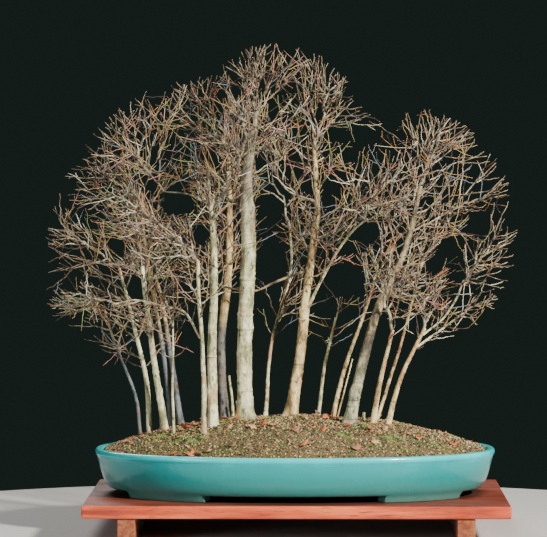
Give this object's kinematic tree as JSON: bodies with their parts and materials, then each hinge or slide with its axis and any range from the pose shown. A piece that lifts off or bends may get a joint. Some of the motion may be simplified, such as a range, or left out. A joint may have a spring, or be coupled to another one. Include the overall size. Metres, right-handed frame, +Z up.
{
  "type": "bare trident maple bonsai forest in an oval pot on a wooden stand",
  "caption": "Winter-bare bonsai forest of slender pale maple stems rising and fanning out from a low mossy mound in a turquoise glazed oval pot, on a red wooden stand.",
  "frame": {"origin": "centre of the bounding box in plan, on the level that the two stand runners rest on", "axes": "+Z up along the stems, +X along the pot's long way to the right as seen from the front, +Y to the back, across the pot"},
  "size_m": [0.8946, 0.564, 0.9205],
  "materials": {
    "glaze": "glossy turquoise glaze",
    "glaze_foot": "grey-green glaze, thinner at the foot",
    "soil": "matte granular soil with moss",
    "stand_wood": "satin orange-red stained wood",
    "bark_pale": "smooth cream bark with faint ring scars",
    "bark_grey": "smooth grey bark",
    "twigs": "matte tan twigs"
  },
  "bodies": {
    "root": {"back_left_twigs": "twigs", "back_right_twigs": "twigs", "back_twigs": "twigs", "crest_bough": "bark_pale", "crossing_bough": "bark_pale", "front_bough": "bark_pale", "front_left_twigs": "twigs", "front_right_twigs": "twigs", "front_twigs": "twigs", "high_left_twigs": "twigs", "high_right_bough": "bark_pale", "high_right_twigs": "twigs", "inner_bough": "bark_pale", "inner_left_twigs": "twigs", "inner_right_twigs": "twigs", "inner_twigs": "twigs", "leaning_trunk": "bark_pale", "left_crest_twigs": "twigs", "low_left_bough": "bark_pale", "low_left_twigs": "twigs", "low_right_twigs": "twigs", "lower_arc": "bark_pale", "main_trunk": "bark_pale", "mid_left_twigs": "twigs", "mid_right_twigs": "twigs", "pot": "glaze", "pot_foot_1": "glaze_foot", "pot_foot_2": "glaze_foot", "pot_foot_3": "glaze_foot", "pot_foot_4": "glaze_foot", "right_bough": "bark_pale", "right_crest_twigs": "twigs", "soil": "soil", "stand_board": "stand_wood", "stand_runner_left": "stand_wood", "stand_runner_right": "stand_wood", "stem_01": "bark_grey", "stem_02": "bark_pale", "stem_03": "bark_pale", "stem_04": "bark_grey", "stem_05": "bark_pale", "stem_06": "bark_grey", "stem_07": "bark_pale", "stem_08": "bark_pale", "stem_09": "bark_grey", "stem_10": "bark_grey", "stem_11": "bark_pale", "stem_12": "bark_pale", "stem_13": "bark_pale", "stem_14": "bark_pale", "stem_15": "bark_pale", "stem_16": "bark_pale", "tall_trunk": "bark_pale", "top_left_twigs": "twigs", "top_right_twigs": "twigs", "top_twigs": "twigs", "under_left_twigs": "twigs", "under_middle_twigs": "twigs", "under_right_twigs": "twigs", "upper_arc": "bark_pale"}
  },
  "joints": []
}
